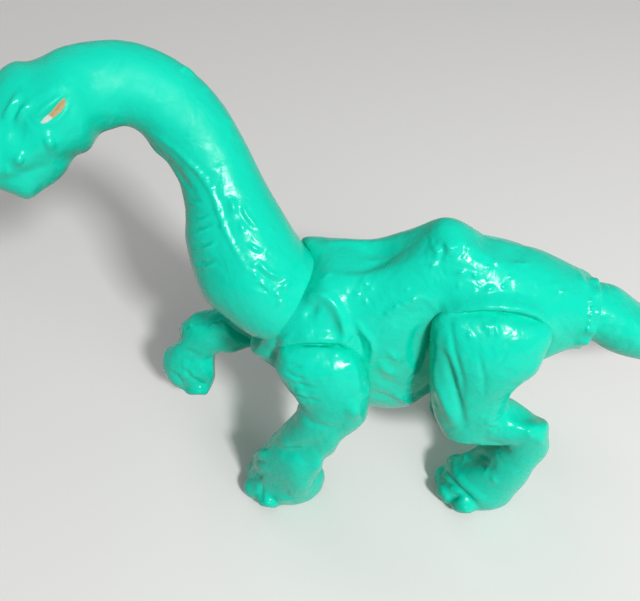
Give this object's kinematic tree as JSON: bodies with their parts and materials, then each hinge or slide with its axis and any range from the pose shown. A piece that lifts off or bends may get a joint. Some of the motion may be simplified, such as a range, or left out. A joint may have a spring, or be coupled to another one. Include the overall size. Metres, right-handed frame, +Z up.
{
  "type": "toy dinosaur figure",
  "caption": "Glossy long-necked dinosaur figure, mid-stride, with a turning neck and tail and swinging snap-in legs on a hollow moulded body.",
  "frame": {"origin": "On the floor under the middle of the figure's bounding box, standing on three paws.", "axes": "+Z up, +X from the head towards the tail's tip, +Y towards the animal's right side."},
  "size_m": [0.208, 0.0482, 0.1212],
  "materials": {
    "green_plastic": "gloss"
  },
  "bodies": {
    "torso": {"body_left": "green_plastic", "body_right": "green_plastic"},
    "neck": {"neck_head": "green_plastic"},
    "tail": {"tail": "green_plastic"},
    "front_left": {"front_left_leg": "green_plastic"},
    "front_right": {"front_right_leg": "green_plastic"},
    "hind_left": {"hind_left_leg": "green_plastic"},
    "hind_right": {"hind_right_leg": "green_plastic"}
  },
  "joints": [
    {"name": "neck_swivel", "type": "hinge", "parent": "torso", "child": "neck", "pos_m": [-0.04243, -0.0001, 0.06348], "axis": [-0.766, 0, 0.6428], "continuous": true},
    {"name": "tail_swivel", "type": "hinge", "parent": "torso", "child": "tail", "pos_m": [0.02507, -0.0001, 0.05959], "axis": [0.9848, 0, -0.1736], "continuous": true},
    {"name": "front_left_swing", "type": "hinge", "parent": "torso", "child": "front_left", "pos_m": [-0.03642, -0.0001, 0.058], "axis": [0, 1, 0], "range_deg": [-20, 70]},
    {"name": "front_right_swing", "type": "hinge", "parent": "torso", "child": "front_right", "pos_m": [-0.03642, -0.0001, 0.058], "axis": [0, 1, 0], "range_deg": [-55, 40]},
    {"name": "hind_left_swing", "type": "hinge", "parent": "torso", "child": "hind_left", "pos_m": [0.00455, -0.0001, 0.059], "axis": [0, 1, 0], "range_deg": [-55, 10]},
    {"name": "hind_right_swing", "type": "hinge", "parent": "torso", "child": "hind_right", "pos_m": [0.00455, -0.0001, 0.059], "axis": [0, 1, 0], "range_deg": [-55, 10]}
  ]
}
